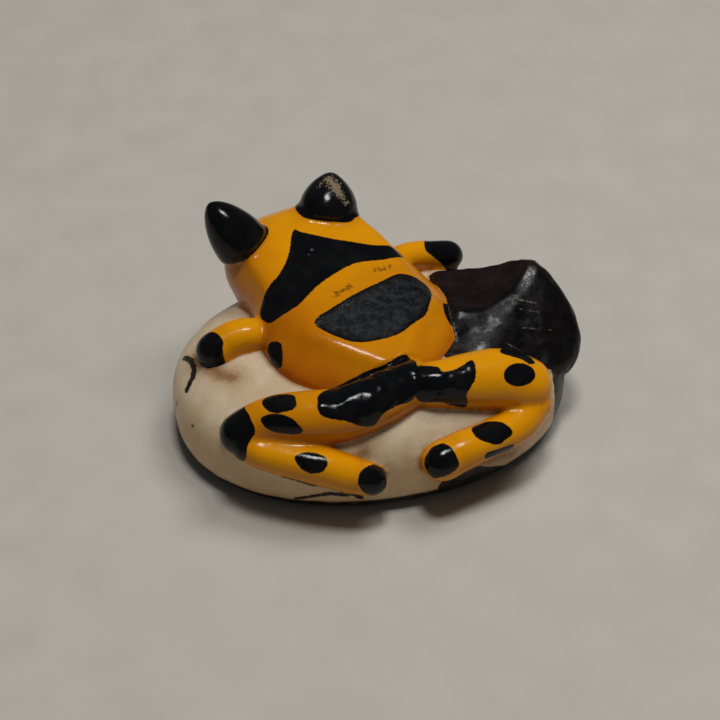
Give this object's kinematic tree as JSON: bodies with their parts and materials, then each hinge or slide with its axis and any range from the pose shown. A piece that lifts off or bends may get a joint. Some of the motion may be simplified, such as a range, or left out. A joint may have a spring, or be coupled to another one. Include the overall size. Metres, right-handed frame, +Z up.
{
  "type": "carved frog figurine",
  "caption": "Small painted frog with cone eyes crouching on a polished cream seed, a black block of husk beside it; free-standing desk ornament with a flat underside.",
  "frame": {"origin": "middle of the flat underside that the seed rests on", "axes": "+X along the seed's long axis towards the husk block, +Y across it towards the frog's head, +Z up"},
  "size_m": [0.0579, 0.0482, 0.0277],
  "materials": {
    "kernel": "polished cream vegetable ivory, slightly translucent, with paint bleed beside the legs",
    "seed_skin": "natural dark seed coat, satin",
    "husk": "black lacquer over carved seed, brown where thin, with fine scratches",
    "orange_paint": "glossy orange enamel paint, darker in the grooves, with black patches",
    "yellow_paint": "glossy yellow-orange enamel paint with black spots",
    "black_paint": "glossy black enamel paint, chipped to tan seed on one eye"
  },
  "bodies": {
    "root": {"nut_base": "kernel", "seed_coat": "seed_skin", "husk_block": "husk", "frog_body": "orange_paint", "left_foreleg": "yellow_paint", "right_foreleg": "yellow_paint", "left_thigh": "yellow_paint", "right_thigh": "yellow_paint", "left_shin": "yellow_paint", "right_shin": "yellow_paint", "left_eye": "black_paint", "right_eye": "black_paint", "left_forefoot": "black_paint", "right_forefoot": "black_paint", "left_hind_foot": "black_paint", "right_hind_foot": "black_paint"}
  },
  "joints": []
}
